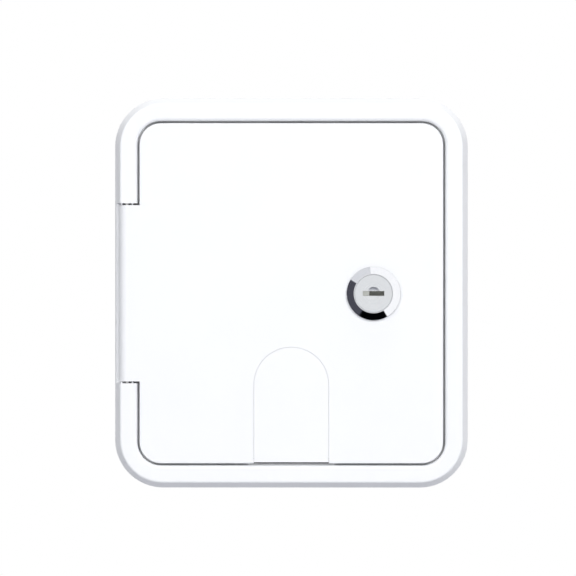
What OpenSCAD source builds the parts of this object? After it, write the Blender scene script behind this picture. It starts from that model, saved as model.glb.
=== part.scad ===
// Locking power cord hatch for the side wall of a caravan: a flanged frame that fills a cut-out,
// a hinged door with a cam lock, and a small sprung flap that lets the cord out of the shut door.
// Everything is drawn lying on its back, X to the right, Y up the wall and Z out of the wall,
// and each piece is stood upright as it is placed. Z = 0 is the outer face of the wall.

/* [Frame] */
// Width of the flange
flange_w = 184.15; // [174:0.05:200]
// Height of the flange
flange_h = 203.2; // [190:0.1:225]
// Radius of the flange's corners
flange_r = 25; // [20:0.5:30]
// How far the flange stands out from the wall
flange_depth = 10; // [9.5:0.25:12]
// Upright land at the foot of the flange's edge
edge_land = 1; // [0.6:0.1:1.6]
// Slope of the flange's edge, in degrees from upright
edge_slope = 17; // [12:1:20]
// Rounding between the sloped edge and the face
face_round = 1.2; // [0.8:0.1:1.6]
// Width of the rails around the door opening
rail_w = 11.75; // [11.5:0.05:14]
// Wall thickness of the moulding
shell_t = 2.4; // [2:0.1:2.6]
// Corner radius of the door opening
opening_r = 12.3; // [10:0.1:14]
// Rounding of the opening's front edge
opening_round = 1.8; // [1.4:0.1:2.2]
// Width of the ledge between the opening and the throat
ledge_w = 13.4; // [12.8:0.1:15]
// Thickness of the ledge
ledge_t = 3.2; // [2.8:0.1:3.4]
// Thickness of the raised rim that the door's seal meets
rim_t = 2.4; // [2:0.1:2.8]
// Height of the rim above the ledge
rim_h = 1.4; // [1.2:0.1:1.6]
// Corner radius of the throat
throat_r = 8; // [6:0.5:10]
// Thickness of the collar that goes through the wall
collar_t = 2.3; // [2:0.1:2.5]
// How far the collar reaches behind the wall's outer face
collar_depth = 32; // [25:1:45]
// Thickness of the ribs behind the flange
rib_t = 1.6; // [1.2:0.1:2]
// Most that two ribs behind the flange stand apart
rib_pitch = 30; // [22:1:40]
// Free space between the cord notch in the throat and each side of the flap
notch_play = 3; // [2.5:0.1:3.4]
// Radius of the corners at the foot of the cord notch
notch_r = 3; // [2:0.5:4]
// Radius of the screw holes
screw_r = 2.2; // [1.9:0.05:2.4]
// Radius of the screw holes' countersinks
screw_head_r = 4.1; // [3.7:0.1:4.4]
// Height of the screw holes above and below the middle
screw_y = 62; // [55:1:66]
// Width of the drain slots in the bottom rail
drain_w = 6; // [4:0.5:8]
// Height of the drain slots
drain_h = 1.2; // [1:0.1:1.4]
// Distance of the drain slots from the middle
drain_x = 48; // [36:1:52]

/* [Hinge] */
// Length of the door's hinge tab
tab_len = 92; // [80:1:100]
// Gap at each end of the tab
tab_gap = 1; // [0.9:0.1:1.4]
// Radius of the hinge barrel
barrel_r = 4.2; // [3.9:0.05:4.4]
// Distance of the hinge line from the flange's outer edge
hinge_inset = 6.3; // [6.2:0.05:6.6]
// Free space around the barrel in its pocket
barrel_play = 0.4; // [0.3:0.05:0.5]
// Height of the low outer strip beside the barrel
strip_h = 3.2; // [2.6:0.1:3.4]
// Radius of the hinge pins
hinge_pin_r = 1.5; // [1.2:0.05:1.7]
// Length of each hinge pin
hinge_pin_len = 28; // [22:1:34]
// Free space around a hinge pin in the barrel
hinge_fit = 0.06; // [0.03:0.01:0.1]
// Length of the knuckle at each end of the pocket
knuckle_len = 10; // [8:0.5:12]
// Distance of the thrust ribs from the hinge line
thrust_x = 2.8; // [2.4:0.1:3.1]
// Thickness of the thrust ribs
thrust_t = 0.8; // [0.6:0.1:1]
// Free space between the thrust ribs and the tab
thrust_play = 0.2; // [0.15:0.05:0.3]

/* [Door] */
// Gap all round the door
door_gap = 1.1; // [1:0.05:1.3]
// Thickness of the door's panel
panel_t = 2.6; // [2.4:0.1:2.8]
// Chamfer on the door's front edge
door_edge = 0.3; // [0.2:0.05:0.5]
// Thickness of the turned-in lip around the door
lip_t = 2.2; // [1.8:0.1:2.6]
// Free space between the lip and the ledge
lip_play = 0.8; // [0.6:0.05:1]
// Height of the ribs behind the panel
door_rib_h = 2.4; // [2:0.1:2.5]
// Thickness of the ribs behind the panel
door_rib_t = 1.6; // [1.2:0.1:2]
// Spacing of the ribs behind the panel
door_rib_pitch = 28; // [24:1:36]
// How far the door's inner rib stands inside the throat
inner_rib_inset = 3; // [2.6:0.1:4]
// Width that the seal has beyond each side of the rim
seal_over = 1.3; // [1:0.1:1.6]

/* [Cord flap] */
// Width of the flap
flap_w = 39; // [34:0.5:44]
// Height of the flap
flap_h = 60.6; // [52:0.2:64]
// Gap around the flap
flap_gap = 0.12; // [0.1:0.01:0.2]
// Height of the flap's foot over the door's lower edge, so that it swings clear of the frame
sill_gap = 0.55; // [0.4:0.05:0.9]
// Depth of the flap from its face to its back edge
flap_depth = 4; // [3.8:0.1:4.2]
// Thickness of the flap's face
flap_face_t = 2; // [1.6:0.1:2.2]
// Width of the stop lip that bears on the door from behind
stop_lip_w = 1.5; // [1.2:0.1:2]
// Thickness of the stop lip
stop_lip_t = 1.5; // [1.3:0.1:1.6]
// Thickness of the door's edge in front of the stop lip
stop_web = 1.2; // [1:0.1:1.4]
// Height of the flap's pin above the top of the flap
flap_pin_rise = 4.1; // [3.8:0.1:5]
// Radius of the flap's pin
flap_pin_r = 1; // [0.9:0.05:1.1]
// Free space around the pin in the flap's knuckles
flap_fit = 0.06; // [0.03:0.01:0.1]
// Radius of the flap's knuckles
flap_knuckle_r = 2.1; // [1.9:0.05:2.3]
// Distance of the inner end of each knuckle from the middle
flap_knuckle_in = 9; // [8.5:0.5:10]
// Length of each knuckle
flap_knuckle_len = 6; // [5:0.5:6.5]
// Length of the thick root of each knuckle's arm
arm_root = 7; // [6:0.5:8]
// Thickness of the ears that hold the pin
ear_t = 2.6; // [2:0.1:3]
// Thickness of the spring wire
spring_wire = 0.5; // [0.4:0.05:0.6]
// Free space between the spring's coils and the pin
spring_play = 0.5; // [0.4:0.05:0.6]
// Number of turns in the spring
spring_turns = 9; // [6:1:11]
// Length of the spring's legs
spring_leg = 11; // [9:0.5:12]

/* [Lock] */
// Distance of the lock from the door's right edge
lock_from_edge = 36.3; // [33:0.1:38]
// Radius of the lock's head
head_r = 14; // [13:0.1:15]
// Height of the lock's head
head_h = 3.6; // [3.4:0.1:4]
// Height of the upright land around the head
head_land = 0.7; // [0.5:0.1:1]
// Thickness of the gasket under the head
gasket_t = 0.6; // [0.5:0.1:1]
// Radius of the plug's face
face_disc_r = 9.95; // [9.8:0.05:10.3]
// Width of the flat ring between the plug's face and the head's cone
face_ring_w = 0.3; // [0.25:0.05:0.5]
// Free space around the turning plug
plug_fit = 0.05; // [0.03:0.01:0.08]
// Radius of the plug's body
plug_r = 6.5; // [6.3:0.1:6.8]
// Thickness of the plug's cap
cap_t = 1; // [0.9:0.05:1.2]
// Thickness of the plug's flange behind the cap
plug_flange_t = 0.9; // [0.8:0.05:1.1]
// Wire thickness of the ring seal behind the flange
ring_seal_t = 0.8; // [0.6:0.05:1]
// Radius of the threaded barrel
barrel_lock_r = 9.3; // [9.2:0.05:9.5]
// Width across the barrel's two flats
barrel_flats = 16.2; // [15.8:0.1:16.8]
// How far the barrel reaches behind the door's face
barrel_back = 13.4; // [13:0.1:14]
// Free space around the barrel in the door
barrel_hole_play = 0.2; // [0.15:0.05:0.3]
// Width of the key slot in the cap
slot_w = 11.2; // [10.8:0.1:11.6]
// Height of the key slot
slot_h = 2.55; // [2.3:0.05:2.8]
// Width of the deep keyway behind the slot
keyway_w = 7.8; // [7.4:0.1:8.8]
// Radius of the dimple at the middle of the cap
dimple_r = 3.5; // [3.2:0.1:3.8]
// Depth of the dimple
dimple_depth = 0.9; // [0.7:0.05:0.95]
// Number of wafers
wafer_count = 5; // [4:1:5]
// Thickness of a wafer
wafer_t = 1; // [0.8:0.05:1.1]
// Spacing of the wafers
wafer_pitch = 2; // [1.8:0.05:2.1]
// Radius of the stiffening boss around the lock's hole
lock_boss_r = 16; // [15:0.25:17]
// Height of the boss behind the panel
lock_boss_h = 2; // [1.6:0.1:2.2]
// Thickness of the toothed washer under the nut
tooth_washer_t = 0.8; // [0.6:0.05:1]
// Width across the nut's flats
nut_flats = 22.2; // [21.6:0.1:23]
// Thickness of the nut
nut_t = 3; // [2.6:0.1:3.4]
// Thickness of the stop washer
stop_t = 1.2; // [1:0.05:1.3]
// Width of the square tail that turns the cam
tail_w = 7; // [6.6:0.1:7.2]
// Length of the cam from the lock's middle to its tip
cam_len = 22.5; // [21:0.25:23]
// Width of the cam
cam_w = 14; // [13:0.25:15]
// Thickness of the cam
cam_t = 2.5; // [2:0.1:2.8]
// How far the cam reaches behind the frame's keeper
cam_hold = 4.9; // [4:0.1:5.5]
// Free space between the turned cam and the keeper
keeper_play = 0.4; // [0.3:0.05:0.6]
// Radius of the cam screw's thread
cam_screw_r = 2; // [1.8:0.05:2.1]
// Radius of the cam screw's head
cam_screw_head_r = 4.6; // [4.2:0.1:5]

/* [Hidden] */
$fn = 96;
// Overrun that keeps a cutter clear of the face it leaves by
over = 0.5;

// Frame
opening_w = flange_w - 2 * rail_w;
opening_h = flange_h - 2 * rail_w;
throat_w = opening_w - 2 * ledge_w;
throat_h = opening_h - 2 * ledge_w;
rim_top = ledge_t + rim_h;
screw_x = (opening_w / 2 + throat_w / 2 + rim_t) / 2;

// Hinge
hinge_x = hinge_inset - flange_w / 2;
hinge_z = flange_depth - barrel_r;
pocket_len = tab_len + 2 * tab_gap;
pocket_floor = hinge_z - barrel_r - barrel_play;
knuckle_end = pocket_len / 2 + knuckle_len;
// Free space around a pin where it is pressed home
press_fit = 0.02;

// Door
door_w = opening_w - 2 * door_gap;
door_h = opening_h - 2 * door_gap;
door_r = opening_r - door_gap;
panel_back = flange_depth - panel_t;
lip_z = ledge_t + lip_play;
// Free space beside the lip for the rim and the seal, and between the seal and the ribs
lip_gap = 0.3;
// Free space past the end of a hinge pin in the barrel
pin_room = 1;

// Cord flap
flap_bottom = -door_h / 2;
flap_top = flap_bottom + flap_h;
flap_back = flange_depth - flap_depth;
// Free space around the flap's stop lip in the door
stop_play = 0.3;
// Foot of the stop lip, above the door's lower lip
stop_foot = flap_bottom + lip_t + 2 * stop_play;
// Distance of the wall behind the door from the flap's edge
surround_in = stop_lip_w + 0.5;
notch_w = flap_w + 2 * stop_lip_w + 2 * notch_play;
flap_pin_y = flap_top + flap_pin_rise;
coil_r = flap_pin_r + spring_play + spring_wire / 2;
flap_pin_z = flap_back - spring_wire / 2 - coil_r;
knuckle_out = flap_knuckle_in + flap_knuckle_len;
// Side play between the flap's knuckles and the ears
ear_play = 0.3;
ear_in = knuckle_out + ear_play;
// Radius of the ears around the pin
ear_r = 2.5;

// Lock
lock_x = door_w / 2 - lock_from_edge;
head_z = flange_depth + gasket_t;
head_top = head_z + head_h;
flange_z = head_top - cap_t - plug_flange_t;
counterbore_z = flange_z - ring_seal_t;
barrel_end = flange_depth - barrel_back;
keyway_x = slot_w / 2 - keyway_w / 2;
tooth_washer_z = panel_back - lock_boss_h - tooth_washer_t;
// Axial play between turning and standing parts of the lock
end_play = 0.1;
stop_z = barrel_end - end_play - stop_t;
stop_disc_r = plug_r + 1;
// Distance of the first wafer from the barrel's end
first_wafer = 2.5;
// Ear on a wafer's edge that its spring pushes on
wafer_ear_x = 1;
wafer_ear_w = 1.4;
wafer_ear_len = 1.6;
// Length of a wafer's spring
wafer_spring_len = 3.5;
cam_z = stop_z - cam_t;
cam_washer_t = 0.8;
cam_washer_r = 5.6;
cam_washer_z = cam_z - cam_washer_t;
cam_screw_len = 6;
// Angle on either side of the stop washer's tab
tab_angle = 14;
keeper_x = lock_x + cam_len - cam_hold;

module upright() {
    rotate([90, 0, 0]) children();
}

// Rounded rectangle centred on the origin, with true arcs at its corners
module rounded_rect(w, h, r) {
    square([w - 2 * r, h], center = true);
    square([w, h - 2 * r], center = true);
    for (x = [-1, 1], y = [-1, 1])
        translate([x * (w / 2 - r), y * (h / 2 - r)]) circle(r);
}

// Solid with a shaped edge round a rounded rectangle. The child is half of its section, drawn
// outward from the middle of a corner's arc.
module edged_slab(w, h, r, z0, z1) {
    inner = [w / 2 - r, h / 2 - r];
    translate([-inner.x, -inner.y, z0]) cube([2 * inner.x, 2 * inner.y, z1 - z0]);
    for (i = [0:3])
        rotate(90 * i) translate([inner[i % 2], inner[(i + 1) % 2], 0]) {
            rotate([90, 0, 0]) linear_extrude(2 * inner[(i + 1) % 2]) children();
            rotate_extrude(angle = 90) children();
        }
}

// Outline of the throat with the cord notch at its foot, grown by d all round
module throat_outline(d = 0) {
    foot = -opening_h / 2 - d;
    half = notch_w / 2 + d;
    r = max(notch_r + d, 0.4);
    rounded_rect(throat_w + 2 * d, throat_h + 2 * d, throat_r + d);
    translate([-half, foot + r]) square([2 * half, opening_h / 4]);
    translate([r - half, foot]) square([2 * (half - r), opening_h / 4]);
    for (side = [-1, 1]) translate([side * (half - r), foot + r]) circle(r);
}

module throat_band(inner, outer) {
    difference() {
        throat_outline(outer);
        throat_outline(inner);
    }
}

// Keeps the part of a plan that lies above the door's lower lip
module above_lip() {
    intersection() {
        translate([-flange_w / 2, -door_h / 2 + lip_t + lip_gap]) square([flange_w, flange_h]);
        children();
    }
}

// Outline of the cord flap: straight sides under a round arch, grown by d
module arch(d = 0, foot = 0) {
    translate([0, flap_top - flap_w / 2]) circle(flap_w / 2 + d);
    translate([-flap_w / 2 - d, flap_bottom - foot])
        square([flap_w + 2 * d, flap_h - flap_w / 2 + foot]);
}

// Outline of the flap's stop lip, which ends above the door's lower lip, grown by d
module stop_outline(d = 0) {
    intersection() {
        arch(stop_lip_w + d);
        translate([-flap_w, stop_foot - d]) square([2 * flap_w, flap_h]);
    }
}

// Frame moulding

module flange_section() {
    rise = flange_depth - face_round - edge_land;
    run = (face_round + rise * sin(edge_slope)) / cos(edge_slope);
    round_x = flange_r - run;
    round_z = flange_depth - face_round;
    polygon([
        [0, 0], [flange_r, 0], [flange_r, edge_land],
        [round_x + face_round * cos(edge_slope), round_z + face_round * sin(edge_slope)],
        [round_x, flange_depth], [0, flange_depth]
    ]);
    translate([round_x, round_z]) circle(face_round);
}

// Hollow behind the rails, between the outer skin and the wall of the opening
module rail_hollow() {
    top = flange_depth - shell_t;
    side = flange_r - shell_t;
    lean = (top - edge_land) * tan(edge_slope);
    difference() {
        edged_slab(flange_w, flange_h, flange_r, -over, top)
            polygon([
                [0, -over], [side, -over], [side, edge_land], [side - lean, top], [0, top]
            ]);
        translate([0, 0, -2 * over]) linear_extrude(flange_depth)
            rounded_rect(opening_w + 2 * shell_t, opening_h + 2 * shell_t, opening_r + shell_t);
        rail_ribs();
        translate([-flange_w / 2, -knuckle_end, -over])
            cube([rail_w + shell_t, 2 * knuckle_end, flange_depth]);
    }
}

module rail_ribs() {
    across = ceil((opening_w - 2 * opening_r) / rib_pitch);
    down = ceil((opening_h - 2 * opening_r) / rib_pitch);
    for (i = [0:across])
        translate([(i / across - 0.5) * (opening_w - 2 * opening_r), 0, 0])
            cube([rib_t, 2 * flange_h, 3 * flange_depth], center = true);
    for (i = [0:down])
        translate([0, (i / down - 0.5) * (opening_h - 2 * opening_r), 0])
            cube([2 * flange_w, rib_t, 3 * flange_depth], center = true);
}

// The opening, flared at its front edge so that the rail is left with a round nose
module opening_cut() {
    nose = flange_depth - opening_round;
    edged_slab(opening_w, opening_h, opening_r, ledge_t, flange_depth + over)
        difference() {
            polygon([
                [0, ledge_t], [opening_r, ledge_t], [opening_r, nose],
                [opening_r + opening_round, nose],
                [opening_r + opening_round, flange_depth + over], [0, flange_depth + over]
            ]);
            translate([opening_r + opening_round, nose]) circle(opening_round);
        }
}

// Pocket for the hinge barrel, hollowed round it, with a low strip left on its outer side
module hinge_pocket() {
    rotate([90, 0, 0]) linear_extrude(pocket_len, center = true) {
        translate([hinge_x, pocket_floor]) square([over - opening_w / 2 - hinge_x, flange_depth]);
        translate([hinge_x, hinge_z]) circle(barrel_r + barrel_play);
        translate([-flange_w / 2 - over, strip_h])
            square([flange_w / 2 + over + hinge_x + over, flange_depth]);
    }
}

// Pairs of small ribs that take the tab's end thrust on both sides of the pin
module thrust_ribs() {
    top = hinge_z + sqrt(barrel_r * barrel_r - thrust_x * thrust_x);
    reach = tab_gap - thrust_play;
    for (end = [-1, 1], side = [-1, 1])
        translate([hinge_x + side * thrust_x - thrust_t / 2,
            end * (pocket_len / 2 + (over - reach) / 2) - (over + reach) / 2, pocket_floor - over])
            cube([thrust_t, over + reach, top - pocket_floor + over]);
}

module screw_hole() {
    sink = screw_head_r - screw_r;
    translate([0, 0, -over]) cylinder(h = ledge_t + 2 * over, r = screw_r);
    translate([0, 0, ledge_t - sink]) cylinder(h = sink, r1 = screw_r, r2 = screw_head_r);
    translate([0, 0, ledge_t]) cylinder(h = over, r = screw_head_r);
}

// Drain: out of the gutter into the hollow bottom rail, and out again along the wall
module drain_slot() {
    translate([-drain_w / 2, -opening_h / 2 - shell_t - over, ledge_t])
        cube([drain_w, shell_t + 2 * over, drain_h]);
    translate([-drain_w / 2, -flange_h / 2 - over, -over])
        cube([drain_w, shell_t + 2 * over, edge_land + over]);
}

// Shelf that the cam turns behind, with a lead-in at its upper end
module keeper() {
    depth = -cam_z - cam_t - keeper_play;
    spare = 5;
    lead = 4;
    half = cam_w / 2 + spare;
    translate([keeper_x, 0, 0]) rotate([90, 0, 90])
        linear_extrude(throat_w / 2 + collar_t / 2 - keeper_x)
            polygon([
                [-half, ledge_t], [-half, -depth], [half - lead, -depth], [half, -depth / 3],
                [half, ledge_t]
            ]);
}

module frame() {
    color("whitesmoke") upright() difference() {
        union() {
            difference() {
                union() {
                    difference() {
                        edged_slab(flange_w, flange_h, flange_r, 0, flange_depth)
                            flange_section();
                        rail_hollow();
                        opening_cut();
                        hinge_pocket();
                    }
                    linear_extrude(rim_top) above_lip() throat_band(0, rim_t);
                    translate([0, 0, -collar_depth]) linear_extrude(collar_depth + over)
                        throat_band(0, collar_t);
                }
                translate([0, 0, -collar_depth - over])
                    linear_extrude(collar_depth + flange_depth) throat_outline();
            }
            keeper();
            thrust_ribs();
        }
        for (x = [-1, 1], y = [-1, 1]) translate([x * screw_x, y * screw_y, 0]) screw_hole();
        for (x = [-1, 1]) translate([x * drain_x, 0, 0]) drain_slot();
        // Each pin is driven home along the hollow rail, through the rib in its way
        translate([hinge_x, 0, hinge_z]) rotate([90, 0, 0])
            cylinder(h = opening_h - 2 * opening_r + 2 * rib_t, r = hinge_pin_r + press_fit,
                center = true);
    }
}

module hinge_pin(side) {
    chamfer = hinge_pin_r / 4;
    color("silver") upright()
        translate([hinge_x, side * knuckle_end, hinge_z]) rotate([side * 90, 0, 0]) {
            cylinder(h = chamfer, r1 = hinge_pin_r - chamfer, r2 = hinge_pin_r);
            translate([0, 0, chamfer]) cylinder(h = hinge_pin_len - 2 * chamfer, r = hinge_pin_r);
            translate([0, 0, hinge_pin_len - chamfer])
                cylinder(h = chamfer, r1 = hinge_pin_r, r2 = hinge_pin_r - chamfer);
        }
}

module hinge_pin_upper() {
    hinge_pin(1);
}

module hinge_pin_lower() {
    hinge_pin(-1);
}

// Door

// Panel with its lip turned in all round
module door_panel() {
    difference() {
        edged_slab(door_w, door_h, door_r, lip_z, flange_depth)
            polygon([
                [0, lip_z], [door_r, lip_z], [door_r, flange_depth - door_edge],
                [door_r - door_edge, flange_depth], [0, flange_depth]
            ]);
        translate([0, 0, lip_z - over]) linear_extrude(panel_back - lip_z + over)
            rounded_rect(door_w - 2 * lip_t, door_h - 2 * lip_t, door_r - lip_t);
    }
}

module hinge_tab() {
    translate([hinge_x, -tab_len / 2, panel_back])
        cube([-door_w / 2 - hinge_x + door_r, tab_len, panel_t]);
    translate([hinge_x, 0, hinge_z]) rotate([90, 0, 0])
        cylinder(h = tab_len, r = barrel_r, center = true);
}

// Plan of the stiffening ribs: a ring just inside the throat, and a grid within it
module door_rib_plan() {
    ring = inner_rib_inset + door_rib_t;
    half = ceil(door_h / (2 * door_rib_pitch));
    throat_band(-ring, -inner_rib_inset);
    intersection() {
        rounded_rect(throat_w - 2 * ring, throat_h - 2 * ring, throat_r - inner_rib_inset);
        union() {
            for (i = [-half:half - 1]) {
                translate([(i + 0.5) * door_rib_pitch, 0])
                    square([door_rib_t, door_h], center = true);
                translate([0, (i + 0.5) * door_rib_pitch])
                    square([door_w, door_rib_t], center = true);
            }
        }
    }
}

// Wall around the flap's cut-out, open at the top for the flap's knuckles
module flap_surround() {
    difference() {
        arch(surround_in + door_rib_t);
        translate([-ear_in, flap_pin_y - 3 * flap_pin_rise]) square([2 * ear_in, flap_h]);
        translate([-flap_w, flap_bottom - over]) square([2 * flap_w, lip_t + 3 * over]);
    }
}

module ears() {
    for (side = [-1, 1])
        translate([side * (ear_in + ear_t / 2), flap_pin_y, flap_pin_z]) {
            rotate([0, 90, 0]) cylinder(h = ear_t, r = ear_r, center = true);
            translate([-ear_t / 2, -ear_r, 0]) cube([ear_t, 2 * ear_r, panel_back - flap_pin_z]);
        }
}

module lock_hole(play, h) {
    intersection() {
        cylinder(h = h, r = barrel_lock_r + play);
        translate([-2 * head_r, -barrel_flats / 2 - play, -over])
            cube([4 * head_r, barrel_flats + 2 * play, h + 2 * over]);
    }
}

module door() {
    rib_z = panel_back - door_rib_h;
    spring_x = spring_turns * spring_pitch() / 2;
    pad = 8 * spring_wire;
    color("white") upright() difference() {
        union() {
            door_panel();
            hinge_tab();
            translate([0, 0, rib_z]) linear_extrude(door_rib_h + over / 2) difference() {
                union() {
                    door_rib_plan();
                    flap_surround();
                }
                throat_band(-seal_over - lip_gap, rim_t + seal_over + lip_gap);
                arch(surround_in, foot = over);
                translate([-ear_in - ear_t, flap_pin_y - 3 * flap_pin_rise])
                    square([2 * (ear_in + ear_t), 3 * flap_pin_rise + spring_leg]);
                translate([lock_x, 0]) circle(lock_boss_r);
            }
            translate([lock_x, 0, panel_back - lock_boss_h])
                cylinder(h = lock_boss_h + over / 2, r = lock_boss_r);
            ears();
            // Pad that the spring's upper leg bears on
            translate([spring_x - pad / 2, flap_pin_y + spring_leg - pad, flap_back])
                cube([pad, pad, panel_back - flap_back + over / 2]);
        }
        translate([0, 0, lip_z - over]) linear_extrude(flange_depth) arch(flap_gap, foot = over);
        translate([0, 0, lip_z - over]) linear_extrude(flange_depth - stop_web - lip_z + over)
            stop_outline(stop_play);
        translate([lock_x, 0, 0]) lock_hole(barrel_hole_play, flange_depth + over);
        for (side = [-1, 1])
            translate([hinge_x, side * (tab_len / 2 + over), hinge_z]) rotate([side * 90, 0, 0])
                cylinder(h = hinge_pin_len - knuckle_len - tab_gap + over + pin_room,
                    r = hinge_pin_r + hinge_fit);
        translate([0, flap_pin_y, flap_pin_z]) rotate([0, 90, 0])
            cylinder(h = 2 * (ear_in + ear_t) + over, r = flap_pin_r + press_fit, center = true);
    }
}

// Flat seal on the door's back that closes on the frame's rim and stops on each side of the flap
module door_seal() {
    color("dimgray") upright() translate([0, 0, rim_top])
        linear_extrude(panel_back - rim_top) above_lip()
            throat_band(-seal_over, rim_t + seal_over);
}

// Cord flap

module flap_pin() {
    half = ear_in + ear_t;
    chamfer = flap_pin_r / 4;
    color("silver") upright() translate([-half, flap_pin_y, flap_pin_z]) rotate([0, 90, 0]) {
        cylinder(h = chamfer, r1 = flap_pin_r - chamfer, r2 = flap_pin_r);
        translate([0, 0, chamfer]) cylinder(h = 2 * half - 2 * chamfer, r = flap_pin_r);
        translate([0, 0, 2 * half - chamfer])
            cylinder(h = chamfer, r1 = flap_pin_r, r2 = flap_pin_r - chamfer);
    }
}

module cord_flap() {
    web_z = flange_depth - stop_web;
    core = flange_depth - flap_face_t;
    wall = shell_t * 0.8;
    color("white") upright() difference() {
        union() {
            difference() {
                union() {
                    translate([0, 0, flap_back]) linear_extrude(flap_depth)
                        arch(foot = -sill_gap);
                    translate([0, 0, web_z - stop_lip_t]) linear_extrude(stop_lip_t)
                        stop_outline();
                }
                translate([0, 0, flap_back - over]) linear_extrude(core - flap_back + over)
                    difference() {
                        intersection() {
                            arch(-wall);
                            translate([-flap_w, flap_bottom + sill_gap + wall])
                                square([2 * flap_w, flap_h]);
                        }
                        flap_rib_plan();
                    }
            }
            flap_knuckles(core);
        }
        translate([0, flap_pin_y, flap_pin_z]) rotate([0, 90, 0])
            cylinder(h = 2 * knuckle_out + over, r = flap_pin_r + flap_fit, center = true);
    }
}

module flap_rib_plan() {
    rows = 3;
    for (side = [-1, 1])
        translate([side * flap_w / 6 - door_rib_t / 2, flap_bottom])
            square([door_rib_t, flap_h - flap_w / 3]);
    for (i = [1:rows])
        translate([-flap_w / 2, flap_bottom + i * flap_h / (rows + 2)])
            square([flap_w, door_rib_t]);
}

// Two arms that reach up behind the door's panel to the pin
module flap_knuckles(core) {
    arm_z = flap_pin_z - flap_knuckle_r * 0.8;
    foot_y = flap_top - flap_w / 2 + sqrt(pow(flap_w / 2, 2) - pow(knuckle_out, 2)) - over;
    for (side = [-1, 1])
        translate([side > 0 ? flap_knuckle_in : -knuckle_out, 0, 0]) {
            translate([0, flap_pin_y, flap_pin_z]) rotate([0, 90, 0])
                cylinder(h = flap_knuckle_len, r = flap_knuckle_r);
            translate([0, foot_y - over, arm_z])
                cube([flap_knuckle_len, flap_pin_y - foot_y + over,
                    flap_back + over / 2 - arm_z]);
            translate([0, foot_y - arm_root, arm_z])
                cube([flap_knuckle_len, arm_root, core + over / 2 - arm_z]);
        }
}

function spring_pitch() = spring_wire * 1.24;

// One ring of points around a wire at point p, where out is the direction away from the coil
function wire_ring(p, out, r, sides) = [for (k = [0:sides - 1])
    p + r * cos(360 * k / sides) * out + r * sin(360 * k / sides) * [1, 0, 0]];

// Wire swept along a coil about the X axis. A leg longer than zero leaves each end square.
module coil(coil_r, wire_r, turns, pitch, leg, steps, sides) {
    last = turns * steps;
    turn_rings = [for (i = [0:last])
        let (a = 360 * i / steps, out = [0, -sin(a), cos(a)])
        wire_ring(coil_r * out + [(0.5 - i / last) * turns * pitch, 0, 0], out, wire_r, sides)];
    up = [0, 0, 1];
    first_leg = leg > 0 ? [wire_ring([turns * pitch / 2, leg, coil_r], up, wire_r, sides)] : [];
    last_leg = leg > 0 ? [wire_ring([-turns * pitch / 2, -leg, coil_r], up, wire_r, sides)] : [];
    rings = concat(first_leg, turn_rings, last_leg);
    count = len(rings);
    polyhedron(
        points = [for (ring = rings) each ring],
        faces = concat(
            [[for (k = [sides - 1:-1:0]) k]],
            [for (i = [0:count - 2], k = [0:sides - 1])
                let (a = i * sides + k, b = i * sides + (k + 1) % sides)
                each [[a, b, b + sides], [a, b + sides, a + sides]]],
            [[for (k = [0:sides - 1]) (count - 1) * sides + k]]
        ),
        convexity = 10
    );
}

// Torsion spring round the pin. One leg bears on the door and the other pushes the flap shut.
module flap_spring() {
    color("gray") upright() translate([0, flap_pin_y, flap_pin_z])
        coil(coil_r, spring_wire / 2, spring_turns, spring_pitch(), spring_leg, 12, 6);
}

// Lock

module at_lock() {
    upright() translate([lock_x, 0, 0]) children();
}

module tube(outer, inner, z0, z1) {
    translate([0, 0, z0]) difference() {
        cylinder(h = z1 - z0, r = outer);
        translate([0, 0, -over]) cylinder(h = z1 - z0 + 2 * over, r = inner);
    }
}

module lock_housing() {
    rim_r = face_disc_r + plug_fit + face_ring_w;
    groove_wall = 1.3;
    groove_play = 0.3;
    groove_r = barrel_lock_r - groove_wall;
    color("lightgray") at_lock() difference() {
        union() {
            rotate_extrude() polygon([
                [0, head_z], [head_r, head_z], [head_r, head_z + head_land],
                [rim_r, head_top], [0, head_top]
            ]);
            translate([0, 0, barrel_end - stop_t])
                lock_hole(0, head_z - barrel_end + stop_t + over);
        }
        stop_cut();
        translate([0, 0, counterbore_z])
            cylinder(h = head_top - counterbore_z + over, r = face_disc_r + plug_fit);
        translate([0, 0, barrel_end - over])
            cylinder(h = head_top - barrel_end + 2 * over, r = plug_r + plug_fit);
        // Grooves that the wafers spring into when the key is out
        translate([-groove_r, -wafer_half() - groove_play, wafer_z(0) - over])
            cube([2 * groove_r, 2 * (wafer_half() + groove_play),
                wafer_count * wafer_pitch + 2 * over]);
    }
}

// Recess in the barrel's end for the stop washer, open to the side over the quarter turn of its tab
module stop_cut() {
    slack = 2;
    play = 0.3;
    translate([0, 0, barrel_end - stop_t - over]) {
        cylinder(h = stop_t + over, r = stop_disc_r + play);
        rotate(-tab_angle - slack) rotate_extrude(angle = 90 + 2 * tab_angle + 2 * slack)
            square([barrel_lock_r + over, stop_t + over]);
    }
}

module lock_gasket() {
    inset = 0.4;
    color("black") at_lock()
        tube(head_r - inset, barrel_lock_r + barrel_hole_play, flange_depth, head_z);
}

module lock_tooth_washer() {
    teeth = 16;
    tooth_w = 1.6;
    ring_w = 2;
    inner = barrel_lock_r + barrel_hole_play;
    color("silver") at_lock() difference() {
        union() {
            tube(inner + ring_w, inner, tooth_washer_z, tooth_washer_z + tooth_washer_t);
            for (i = [0:teeth - 1])
                rotate(360 * i / teeth) translate([inner + ring_w / 2, -tooth_w / 2, tooth_washer_z])
                    cube([ring_w, tooth_w, tooth_washer_t]);
        }
        translate([0, 0, tooth_washer_z - over])
            cylinder(h = tooth_washer_t + 2 * over, r = inner);
    }
}

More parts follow.
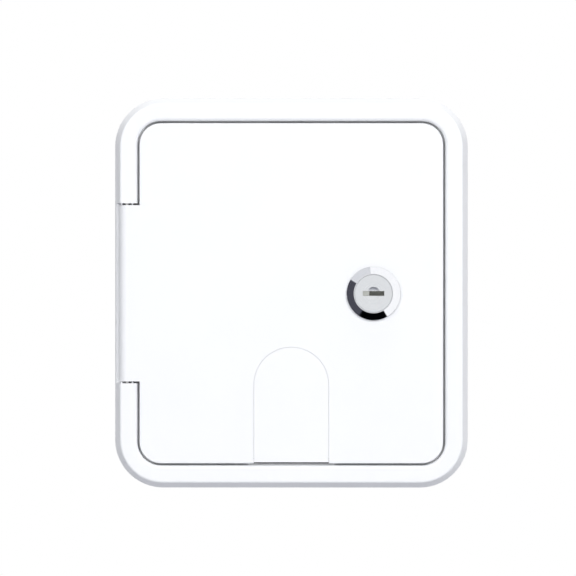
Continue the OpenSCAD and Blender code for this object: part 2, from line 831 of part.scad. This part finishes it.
module lock_nut() {
    color("silver") at_lock() translate([0, 0, tooth_washer_z - nut_t]) difference() {
        intersection() {
            cylinder(h = nut_t, r = nut_flats / sqrt(3), $fn = 6);
            nut_crown();
        }
        translate([0, 0, -over]) cylinder(h = nut_t + 2 * over, r = barrel_lock_r + plug_fit);
    }
}

// Turned shape that takes the nut's corners off at its back
module nut_crown() {
    corner = nut_flats / sqrt(3);
    rotate_extrude() polygon([
        [0, 0], [nut_flats / 2, 0], [corner, (corner - nut_flats / 2) / 2], [corner, nut_t],
        [0, nut_t]
    ]);
}

module keyway(z0, z1) {
    inset = 0.15;
    translate([keyway_x - keyway_w / 2, inset - slot_h / 2, z0])
        cube([keyway_w, slot_h - 2 * inset, z1 - z0]);
}

function wafer_half() = plug_r * 0.45;
function wafer_z(i) = barrel_end + first_wafer + i * wafer_pitch;
function wafer_ear() = wafer_half() + wafer_ear_len;

module lock_plug() {
    floor_t = 1.5;
    chest_x = wafer_ear_x - wafer_spring_len - over;
    chest_w = wafer_spring_len + wafer_ear_w + 2 * over;
    color("lightgray") at_lock() difference() {
        union() {
            translate([0, 0, barrel_end - end_play])
                cylinder(h = flange_z - barrel_end + end_play + over / 2, r = plug_r);
            translate([0, 0, flange_z]) cylinder(h = plug_flange_t, r = face_disc_r);
            translate([-tail_w / 2, -tail_w / 2, cam_z + 2 * end_play])
                cube([tail_w, tail_w, barrel_end - cam_z]);
        }
        keyway(barrel_end + floor_t, head_top);
        for (i = [0:wafer_count - 1]) translate([0, 0, wafer_z(i)]) {
            translate([-plug_r - over, -wafer_half() - plug_fit, -plug_fit])
                cube([2 * plug_r + 2 * over, 2 * (wafer_half() + plug_fit),
                    wafer_t + 2 * plug_fit]);
            translate([chest_x, -wafer_ear() - plug_fit, -plug_fit])
                cube([chest_w, wafer_ear_len + over, wafer_t + 2 * plug_fit]);
        }
        translate([0, 0, cam_z - over])
            cylinder(h = cam_screw_len - 4 * end_play, r = cam_screw_r + plug_fit);
    }
}

// Thin plates that the key lifts level with the plug. Each has a window for the key and an ear
// that its spring pushes on.
module wafers() {
    window_step = 0.2;
    color("goldenrod") at_lock()
        for (i = [0:wafer_count - 1]) translate([0, 0, wafer_z(i)]) linear_extrude(wafer_t)
            difference() {
                union() {
                    intersection() {
                        circle(plug_r - plug_fit);
                        square([2 * plug_r, 2 * wafer_half()], center = true);
                    }
                    translate([wafer_ear_x, -wafer_ear()]) square([wafer_ear_w, wafer_ear()]);
                }
                translate([keyway_x, 0])
                    square([keyway_w + window_step * (2 - i % 3), slot_h], center = true);
            }
}

module wafer_springs() {
    wire = 0.3;
    turns = 4;
    x = wafer_ear_x - wafer_spring_len / 2 - over / 2;
    y = wire + wafer_t / 2 - wafer_ear();
    color("gray") at_lock()
        for (i = [0:wafer_count - 1])
            translate([x, y, wafer_z(i) + wafer_t / 2])
                coil(wafer_t / 2 - wire / 2, wire / 2, turns, wafer_spring_len / turns, 0, 6, 4);
}

// Drawn cap on the plug's face, with the dimple that guides the key into the slot
module plug_cap() {
    sphere_r = (dimple_r * dimple_r + dimple_depth * dimple_depth) / (2 * dimple_depth);
    edge = 0.25;
    color("gainsboro") at_lock() difference() {
        rotate_extrude() polygon([
            [0, head_top - cap_t], [face_disc_r, head_top - cap_t],
            [face_disc_r, head_top - edge], [face_disc_r - edge, head_top], [0, head_top]
        ]);
        translate([0, 0, head_top + sphere_r - dimple_depth]) sphere(sphere_r);
        translate([-slot_w / 2, -slot_h / 2, head_top - cap_t - over])
            cube([slot_w, slot_h, cap_t + 2 * over]);
    }
}

module plug_ring_seal() {
    seal_r = (face_disc_r + plug_r) / 2 + ring_seal_t / 2;
    color("black") at_lock()
        rotate_extrude() translate([seal_r, counterbore_z + ring_seal_t / 2])
            circle(ring_seal_t / 2 - plug_fit);
}

// Washer whose tab meets the ends of the stop wall a quarter turn apart
module turn_stop() {
    color("silver") at_lock() translate([0, 0, stop_z]) difference() {
        union() {
            cylinder(h = stop_t - end_play, r = stop_disc_r);
            rotate(90 - tab_angle) rotate_extrude(angle = 2 * tab_angle)
                square([barrel_lock_r - end_play, stop_t - end_play]);
        }
        translate([0, 0, stop_t / 2])
            cube([tail_w + 2 * plug_fit, tail_w + 2 * plug_fit, 2 * stop_t], center = true);
    }
}

module cam() {
    tip_r = 3;
    color("silver") at_lock() translate([0, 0, cam_z]) linear_extrude(cam_t) difference() {
        union() {
            circle(cam_w * 0.62);
            translate([-cam_w / 2, 0]) square([cam_w, cam_len - tip_r]);
            translate([-cam_w / 2 + tip_r, 0]) square([cam_w - 2 * tip_r, cam_len]);
            for (side = [-1, 1])
                translate([side * (cam_w / 2 - tip_r), cam_len - tip_r]) circle(tip_r);
        }
        square(tail_w + 2 * plug_fit, center = true);
    }
}

// Split spring washer under the screw's head
module cam_washer() {
    inner = cam_screw_r + 2 * end_play;
    split = 12;
    color("gray") at_lock() translate([0, 0, cam_washer_z]) rotate_extrude(angle = 360 - split)
        translate([inner, 0]) square([cam_washer_r - inner, cam_washer_t]);
}

module cam_screw() {
    head = 2.6;
    slot = 1.2;
    slot_depth = 1.3;
    color("silver") at_lock() difference() {
        union() {
            translate([0, 0, cam_washer_z - head]) cylinder(h = head, r = cam_screw_head_r);
            translate([0, 0, cam_washer_z - over]) cylinder(h = cam_screw_len, r = cam_screw_r);
        }
        translate([-slot / 2, -cam_screw_head_r, cam_washer_z - head - over])
            cube([slot, 2 * cam_screw_head_r, over + slot_depth]);
    }
}

frame();
hinge_pin_upper();
hinge_pin_lower();
door();
door_seal();
flap_pin();
flap_spring();
cord_flap();
lock_housing();
lock_gasket();
lock_tooth_washer();
lock_nut();
lock_plug();
plug_cap();
plug_ring_seal();
wafers();
wafer_springs();
turn_stop();
cam();
cam_washer();
cam_screw();
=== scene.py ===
import math

import bmesh
import bpy
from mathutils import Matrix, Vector


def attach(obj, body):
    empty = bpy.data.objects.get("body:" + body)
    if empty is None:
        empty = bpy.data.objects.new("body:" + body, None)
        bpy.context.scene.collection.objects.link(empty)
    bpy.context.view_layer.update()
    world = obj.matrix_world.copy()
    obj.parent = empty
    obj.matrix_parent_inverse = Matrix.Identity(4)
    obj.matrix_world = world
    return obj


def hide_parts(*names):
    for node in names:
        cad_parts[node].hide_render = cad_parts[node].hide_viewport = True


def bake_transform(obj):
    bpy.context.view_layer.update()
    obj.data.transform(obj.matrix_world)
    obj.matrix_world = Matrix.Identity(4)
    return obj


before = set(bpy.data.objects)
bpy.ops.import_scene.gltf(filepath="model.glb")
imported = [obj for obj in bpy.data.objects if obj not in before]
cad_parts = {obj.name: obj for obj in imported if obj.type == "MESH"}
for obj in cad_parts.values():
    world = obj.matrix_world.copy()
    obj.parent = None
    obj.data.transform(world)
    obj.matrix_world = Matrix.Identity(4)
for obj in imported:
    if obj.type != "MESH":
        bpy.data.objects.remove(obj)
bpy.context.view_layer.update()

MM = 0.001
# Middle of the lock on the door, and the middle of the pin that the flap swings on
LOCK = Vector((42.925, 0, 0)) * MM
FLAP_PIN = Vector((0, -4.0, -24.05)) * MM


# Materials


def linear(hex_colour):
    """The linear value of an sRGB colour."""
    parts = [int(hex_colour[i : i + 2], 16) / 255 for i in (0, 2, 4)]
    return [p / 12.92 if p <= 0.04045 else ((p + 0.055) / 1.055) ** 2.4 for p in parts] + [1]


def add(tree, kind, inputs=None, **settings):
    """Adds a node of that kind. Each input is a value, or an output of another node."""
    node = tree.nodes.new("ShaderNode" + kind)
    for name, value in settings.items():
        setattr(node, name, value)
    for name, value in (inputs or {}).items():
        if isinstance(value, bpy.types.NodeSocket):
            tree.links.new(value, node.inputs[name])
        else:
            node.inputs[name].default_value = value
    return node


def per(millimetres):
    """Texture scale at which a pattern repeats about every so many millimetres."""
    return 1 / (millimetres * MM)


def start(name, **sockets):
    """A new material with its shader's uniform sockets set, and the piece's own coordinates."""
    material = bpy.data.materials.new(name)
    material.use_nodes = True
    tree = material.node_tree
    shader = tree.nodes["Principled BSDF"]
    for socket, value in sockets.items():
        shader.inputs[socket.replace("_", " ")].default_value = value
    return material, tree, shader, add(tree, "TexCoord").outputs["Object"]


def finish_surface(tree, shader, colours, colour_by, roughness, rough_by, height, depth,
                   edge=0.1):
    """Links two colours, a range of roughness, and a relief and edge rounding in millimetres."""
    mix = add(tree, "Mix", {0: colour_by, 6: linear(colours[0]), 7: linear(colours[1])},
              data_type="RGBA")
    rough = add(tree, "MapRange", {"Value": rough_by, "From Min": 0.3, "From Max": 0.7,
                                   "To Min": roughness[0], "To Max": roughness[1]})
    rounding = add(tree, "Bevel", {"Radius": edge * MM}, samples=4)
    bump = add(tree, "Bump", {"Height": height, "Strength": 1.0, "Distance": depth * MM,
                              "Normal": rounding.outputs[0]})
    tree.links.new(mix.outputs[2], shader.inputs["Base Color"])
    tree.links.new(rough.outputs[0], shader.inputs["Roughness"])
    tree.links.new(bump.outputs[0], shader.inputs["Normal"])


def moulded_asa():
    # White ASA from a spark-eroded mould. The fine grain, about 0.3 mm, keeps highlights soft and
    # even, and slow flow marks stop the big flat faces from looking like paper.
    material, tree, shader, place = start("white_moulded_asa", IOR=1.52)
    grain = add(tree, "TexNoise", {"Vector": place, "Scale": per(0.3), "Detail": 2.0})
    flow = add(tree, "TexNoise", {"Vector": place, "Scale": per(35), "Detail": 1.0})
    finish_surface(tree, shader, ("F4F5F6", "F1F2F3"), flow.outputs[0], (0.38, 0.5),
                   grain.outputs[0], grain.outputs[0], 0.006, edge=0.15)
    return material


def ring_lines(tree, place, width):
    """Noise that runs in rings round the lock's middle, each about so many millimetres wide."""
    flat = add(tree, "VectorMath", {0: place, 1: (1, 0, 1)}, operation="MULTIPLY")
    off = add(tree, "VectorMath", {0: flat.outputs[0], 1: LOCK}, operation="SUBTRACT")
    radius = add(tree, "VectorMath", {0: off.outputs[0]}, operation="LENGTH")
    return add(tree, "TexNoise", {"W": radius.outputs["Value"], "Scale": per(width),
                                  "Detail": 3.0}, noise_dimensions="1D").outputs[0]


def bright_chrome():
    # Bright chrome on a polished zinc casting: a near mirror, with buffing lines round the axis.
    material, tree, shader, place = start("bright_chrome_on_zinc", Metallic=1.0)
    rings = ring_lines(tree, place, 0.25)
    haze = add(tree, "TexNoise", {"Vector": place, "Scale": per(2.5), "Detail": 3.0})
    finish_surface(tree, shader, ("ECEDF0", "E4E6EA"), haze.outputs[0], (0.05, 0.1), rings,
                   rings, 0.0008)
    return material


def satin_chrome():
    # Satin chrome on a drawn brass cap: turned lines of about 0.15 mm blur all that it mirrors.
    material, tree, shader, place = start("satin_chrome_cap", Metallic=1.0)
    rings = ring_lines(tree, place, 0.15)
    haze = add(tree, "TexNoise", {"Vector": place, "Scale": per(1.6), "Detail": 3.0})
    finish_surface(tree, shader, ("E3E5E8", "DADDE0"), haze.outputs[0], (0.26, 0.38), rings,
                   rings, 0.002)
    return material


def cast_zinc():
    # Nickel-plated zinc as cast: dull grey with a pebbled skin of about 0.5 mm.
    material, tree, shader, place = start("nickel_plated_zinc", Metallic=1.0)
    pebble = add(tree, "TexNoise", {"Vector": place, "Scale": per(0.5), "Detail": 3.0})
    finish_surface(tree, shader, ("C6C8C3", "B2B4AF"), pebble.outputs[0], (0.34, 0.5),
                   pebble.outputs[0], pebble.outputs[0], 0.01)
    return material


def zinc_plated_steel():
    # Pressed steel with clear zinc plating: cool grey with a faint yellow cloud every few
    # millimetres, and rolling lines along one way.
    material, tree, shader, place = start("zinc_plated_steel", Metallic=1.0)
    cloud = add(tree, "TexNoise", {"Vector": place, "Scale": per(4), "Detail": 3.0})
    stretched = add(tree, "VectorMath", {0: place, 1: (1, 1, 0.08)}, operation="MULTIPLY")
    lines = add(tree, "TexNoise", {"Vector": stretched.outputs[0], "Scale": per(0.35)})
    finish_surface(tree, shader, ("C3C9D0", "C2BFB0"), cloud.outputs[0], (0.24, 0.42),
                   lines.outputs[0], lines.outputs[0], 0.004)
    return material


def drawn_stainless():
    # Drawn stainless wire: a bright grey, slightly uneven from the die every 0.3 mm or so.
    material, tree, shader, place = start("drawn_stainless_steel", Metallic=1.0)
    lines = add(tree, "TexNoise", {"Vector": place, "Scale": per(0.3), "Detail": 2.0})
    finish_surface(tree, shader, ("CDCDCB", "BDBDBB"), lines.outputs[0], (0.2, 0.32),
                   lines.outputs[0], lines.outputs[0], 0.002)
    return material


def stamped_brass():
    # Stamped brass for the wafers: warm yellow, slightly rough, with a faint cloud of 0.8 mm.
    material, tree, shader, place = start("stamped_brass", Metallic=1.0)
    cloud = add(tree, "TexNoise", {"Vector": place, "Scale": per(0.8), "Detail": 3.0})
    finish_surface(tree, shader, ("CFB071", "B8975A"), cloud.outputs[0], (0.25, 0.4),
                   cloud.outputs[0], cloud.outputs[0], 0.003)
    return material


def epdm_rubber():
    # Black EPDM: matt, with a dusty bloom in soft patches and a fine skin of about 0.4 mm.
    material, tree, shader, place = start("black_epdm_rubber", IOR=1.5)
    bloom = add(tree, "TexNoise", {"Vector": place, "Scale": per(6), "Detail": 3.0})
    skin = add(tree, "TexNoise", {"Vector": place, "Scale": per(0.4), "Detail": 2.0})
    finish_surface(tree, shader, ("1B1C1E", "2B2C2E"), bloom.outputs[0], (0.65, 0.85),
                   skin.outputs[0], skin.outputs[0], 0.02)
    return material


asa, chrome, satin, cast = moulded_asa(), bright_chrome(), satin_chrome(), cast_zinc()
zinc, stainless, brass, rubber = (zinc_plated_steel(), drawn_stainless(), stamped_brass(),
                                  epdm_rubber())
FINISHES = {
    "frame": asa, "door": asa, "cord_flap": asa, "door_seal": rubber,
    "hinge_pin_upper": stainless, "hinge_pin_lower": stainless, "flap_pin": stainless,
    "flap_spring": stainless, "lock_housing": chrome, "lock_gasket": rubber,
    "lock_tooth_washer": zinc, "lock_nut": zinc, "lock_plug": cast, "plug_cap": satin,
    "plug_ring_seal": rubber, "wafers": brass, "wafer_springs": stainless, "turn_stop": zinc,
    "cam": zinc, "cam_washer": zinc, "cam_screw": zinc,
}
for node, material in FINISHES.items():
    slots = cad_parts[node].data.materials
    slots.clear()
    slots.append(material)


# Pieces that are finer than the solids


def placed(name, data):
    """A new object in the scene."""
    thing = bpy.data.objects.new(name, data)
    bpy.context.scene.collection.objects.link(thing)
    return thing


def swept_wire(name, points, radius):
    """A round wire along the points, as a closed mesh."""
    curve = bpy.data.curves.new(name, "CURVE")
    curve.dimensions = "3D"
    curve.bevel_depth = radius
    curve.bevel_resolution = 3
    curve.use_fill_caps = True
    line = curve.splines.new("POLY")
    line.points.add(len(points) - 1)
    for point, place in zip(line.points, points):
        point.co = (*place, 1)
    bare = placed(name + "_line", curve)
    mesh = bpy.data.meshes.new_from_object(bare.evaluated_get(
        bpy.context.evaluated_depsgraph_get()))
    bpy.data.objects.remove(bare)
    for face in mesh.polygons:
        face.use_smooth = True
    return placed(name, mesh)


def flap_spring():
    """Torsion spring round the flap's pin, with one leg on the door and one on the flap."""
    radius, wire_radius, width, leg = 1.75 * MM, 0.25 * MM, 5.58 * MM, 11 * MM
    turns, turn_steps, leg_steps = 9, 32, 4
    steps = turn_steps * turns
    points = [FLAP_PIN + Vector((width / 2, -radius, leg * (1 - i / leg_steps)))
              for i in range(leg_steps)]
    for i in range(steps + 1):
        angle = math.tau * turns * i / steps
        points.append(FLAP_PIN + Vector((width * (0.5 - i / steps), -radius * math.cos(angle),
                                         -radius * math.sin(angle))))
    points += [FLAP_PIN + Vector((-width / 2, -radius, -leg * i / leg_steps))
               for i in range(1, leg_steps + 1)]
    wire = swept_wire("flap_spring_wire", points, wire_radius)
    wire.data.materials.append(stainless)
    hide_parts("flap_spring")
    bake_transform(wire)


def lock_thread():
    """The barrel's thread behind the nut, cut away by the two flats. All in millimetres."""
    root, crest, flat, pitch = 9.2, 9.5, 8.05, 1.0
    # Where the thread starts and ends, in depth behind the wall's outer face
    top, bottom = -1.5, 4.5
    # The stop's tab turns in this sector behind this depth, so no thread stands there
    stop_top, stop_from, stop_to = 3.4, math.radians(-18), math.radians(108)
    # Above 1 it leaves the crests flat
    ridge_slope = 1.25
    around, down = 96, 48

    def radius(angle, depth):
        turned = (angle - stop_from) % math.tau + stop_from
        if depth <= top or depth >= bottom or (depth > stop_top and turned < stop_to):
            return root
        phase = (depth / pitch - angle / math.tau) % 1
        ridge = root + (crest - root) * min(1, ridge_slope * (1 - abs(2 * phase - 1)))
        return min(ridge, flat / max(abs(math.sin(angle)), 0.01))

    bm = bmesh.new()
    rows = []
    for j in range(down + 1):
        depth = top + (bottom - top) * j / down
        ring = []
        for i in range(around):
            angle = math.tau * i / around
            r = radius(angle, depth)
            ring.append(bm.verts.new(LOCK + Vector((r * math.cos(angle), depth,
                                                    r * math.sin(angle))) * MM))
        rows.append(ring)
    for upper, lower in zip(rows, rows[1:]):
        for i in range(around):
            j = (i + 1) % around
            bm.faces.new((upper[i], lower[i], lower[j], upper[j]))
    bmesh.ops.recalc_face_normals(bm, faces=bm.faces)
    mesh = bpy.data.meshes.new("lock_thread")
    bm.to_mesh(mesh)
    bm.free()
    mesh.materials.append(cast)
    thread = placed("lock_thread", mesh)
    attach(thread, "door_leaf")


flap_spring()
lock_thread()


# Studio

# The floor's radius and height, in metres
FLOOR_SIZE = 3.5
FLOOR_Z = -0.45
FLOOR_SIDES = 64
# Share of the floor's size at which it has faded to plain white
FLOOR_FADE = 0.9
CARD_RADIUS = 0.4
CARD_STEPS = 24


def staged(name, corners, faces, material):
    """A plain sheet of the studio."""
    mesh = bpy.data.meshes.new(name)
    mesh.from_pydata(corners, [], faces)
    mesh.materials.append(material)
    sheet = placed(name, mesh)
    return sheet


def hide_from(thing, *rays):
    """Leaves a sheet or a lamp out of what these kinds of ray meet."""
    for ray in rays:
        setattr(thing, "visible_" + ray, False)


def empty_material(name):
    """A new material without nodes, and its tree."""
    material = bpy.data.materials.new(name)
    material.use_nodes = True
    material.node_tree.nodes.clear()
    return material, material.node_tree


def seen_from_front(tree, surface):
    """Ends the material with that surface, which is clear from behind."""
    clear = add(tree, "BsdfTransparent")
    one_way = add(tree, "MixShader", {0: add(tree, "NewGeometry").outputs["Backfacing"],
                                      1: surface.outputs[0], 2: clear.outputs[0]})
    add(tree, "OutputMaterial", {"Surface": one_way.outputs[0]})


def seen_ray(tree):
    """1 where a ray from the camera, a mirror or glass looks at the studio."""
    path = add(tree, "LightPath")
    mirrored = add(tree, "Math", {0: path.outputs["Is Camera Ray"],
                                  1: path.outputs["Is Glossy Ray"]}, operation="MAXIMUM")
    return add(tree, "Math", {0: mirrored.outputs[0], 1: path.outputs["Is Transmission Ray"]},
               operation="MAXIMUM").outputs[0]


def studio_floor():
    # Matt white floor that keeps the soft shadow in the middle and fades to plain white. The
    # light that it throws back on the part is that of a darker, bluish floor.
    material, tree = empty_material("studio_floor")
    place = add(tree, "TexCoord").outputs["Object"]
    reach = add(tree, "VectorMath", {0: place}, operation="LENGTH").outputs["Value"]
    fade = add(tree, "Math", {0: reach, 1: FLOOR_SIZE * FLOOR_FADE}, operation="DIVIDE",
               use_clamp=True)
    white = add(tree, "Emission", {"Color": linear("FFFFFF"), "Strength": 1.0})
    lit = add(tree, "BsdfDiffuse", {"Color": linear("F9F9F9")})
    shown = add(tree, "MixShader", {0: fade.outputs[0], 1: lit.outputs[0], 2: white.outputs[0]})
    plain = add(tree, "BsdfDiffuse", {"Color": linear("C1C2C8")})
    both = add(tree, "MixShader", {0: seen_ray(tree), 1: plain.outputs[0], 2: shown.outputs[0]})
    seen_from_front(tree, both)
    return material


turns = [math.tau * i / FLOOR_SIDES for i in range(FLOOR_SIDES)]
rim = [(FLOOR_SIZE * math.cos(turn), FLOOR_SIZE * math.sin(turn), 0) for turn in turns]
floor = staged("floor", rim, [tuple(range(FLOOR_SIDES))], studio_floor())
floor.location.z = FLOOR_Z


def card(name, clock_from, clock_to, hex_colour, strength=1.0, near=-0.25, far=0.05):
    """A curved card round the lock that only mirrors show, from one hour to another."""
    material, tree = empty_material(name)
    glow = add(tree, "Emission", {"Color": linear(hex_colour), "Strength": strength})
    add(tree, "OutputMaterial", {"Surface": glow.outputs[0]})
    corners = []
    for i in range(CARD_STEPS + 1):
        hour = clock_from + (clock_to - clock_from) * i / CARD_STEPS
        angle = math.radians(90 - 30 * hour)
        x, z = LOCK.x + CARD_RADIUS * math.cos(angle), CARD_RADIUS * math.sin(angle)
        corners += [(x, near, z), (x, far, z)]
    sheet = staged(name, corners, [(2 * i, 2 * i + 1, 2 * i + 3, 2 * i + 2)
                                   for i in range(CARD_STEPS)], material)
    hide_from(sheet, "camera", "diffuse", "transmission", "volume_scatter", "shadow")


card("black_card", 5.0, 7.1, "020203")
card("slate_card", 7.1, 10.0, "505059")
card("grey_card", 10.0, 11.73, "EBECEF")
card("white_card", 11.73, 17.0, "FFFFFF", 1.15)
# The dimple over the key slot mirrors this one
card("dimple_card", 4.3, 7.7, "8E8F9A", near=-0.6, far=-0.26)


def notch_painted_shade():
    """A dark glowing card behind the cord notch: painted shade that stands in for the shadowed
    inside of the wall. It has no back.
    """
    material, tree = empty_material("notch_painted_shade")
    # Near-black emission: painted shade, not a real dark part of the hatch
    seen_from_front(tree, add(tree, "Emission", {"Color": linear("101011")}))
    half, foot, top, back = 24 * MM, -91 * MM, -84 * MM, 33 * MM
    sheet = staged("notch_painted_shade", [(-half, back, foot), (half, back, foot), (half, back, top),
                                  (-half, back, top)], [(0, 1, 2, 3)], material)
    hide_from(sheet, "diffuse", "transmission", "volume_scatter", "shadow")


notch_painted_shade()

LAMP_DISTANCE = 4.0
LAMP_SIZE = 1.8
# Where each lamp stands, and how much of full white it gives a white surface that faces it
LAMPS = {"front_softbox": ((0, -1, 0.05), 0.1), "left_key": ((-0.45, -1, 0.5), 0.32),
         "right_key": ((0.45, -1, 0.5), 0.48), "right_softbox": ((1, -0.05, 0), 0.13),
         "left_softbox": ((-1, -0.05, 0), 0.02), "top_softbox": ((0, -0.05, 1), 0.4),
         "back_softbox": ((0.3, 1, 0.15), 0.25)}
for name, (direction, share) in LAMPS.items():
    data = bpy.data.lights.new(name, "AREA")
    data.size = LAMP_SIZE
    data.energy = share * (math.pi * LAMP_DISTANCE) ** 2
    lamp = placed(name, data)
    lamp.location = Vector(direction).normalized() * LAMP_DISTANCE
    lamp.rotation_mode = "QUATERNION"
    lamp.rotation_quaternion = lamp.location.to_track_quat("Z", "Y")
    hide_from(lamp, "camera", "glossy")

# Low, slightly blue light from all round, and a white room wherever a ray can see it
world = bpy.data.worlds.new("studio")
world.use_nodes = True
bpy.context.scene.world = world
tree = world.node_tree
tree.nodes.clear()
around = add(tree, "Background", {"Color": linear("F1F4FF"), "Strength": 0.22})
room = add(tree, "Background", {"Color": linear("FFFFFF"), "Strength": 1.0})
both = add(tree, "MixShader", {0: seen_ray(tree), 1: around.outputs[0], 2: room.outputs[0]})
add(tree, "OutputWorld", {"Surface": both.outputs[0]})

# Camera: a long lens from far off, almost square to the door and a little from the right
VIEW_WIDTH = 300.6 * MM
CAMERA_DISTANCE = 10.0
aim = Vector((-1.72, -10, 2.79)) * MM
side, low = math.radians(0.6), math.radians(-1)
data = bpy.data.cameras.new("camera")
data.sensor_width = 36
data.lens = data.sensor_width * CAMERA_DISTANCE / VIEW_WIDTH
camera = placed("camera", data)
back = Vector((math.sin(side), -math.cos(side) * math.cos(low), -math.sin(low)))
camera.location = aim + back.normalized() * CAMERA_DISTANCE
camera.rotation_mode = "QUATERNION"
camera.rotation_quaternion = back.to_track_quat("Z", "Y")
bpy.context.scene.camera = camera
bpy.context.scene.view_settings.view_transform = "Standard"
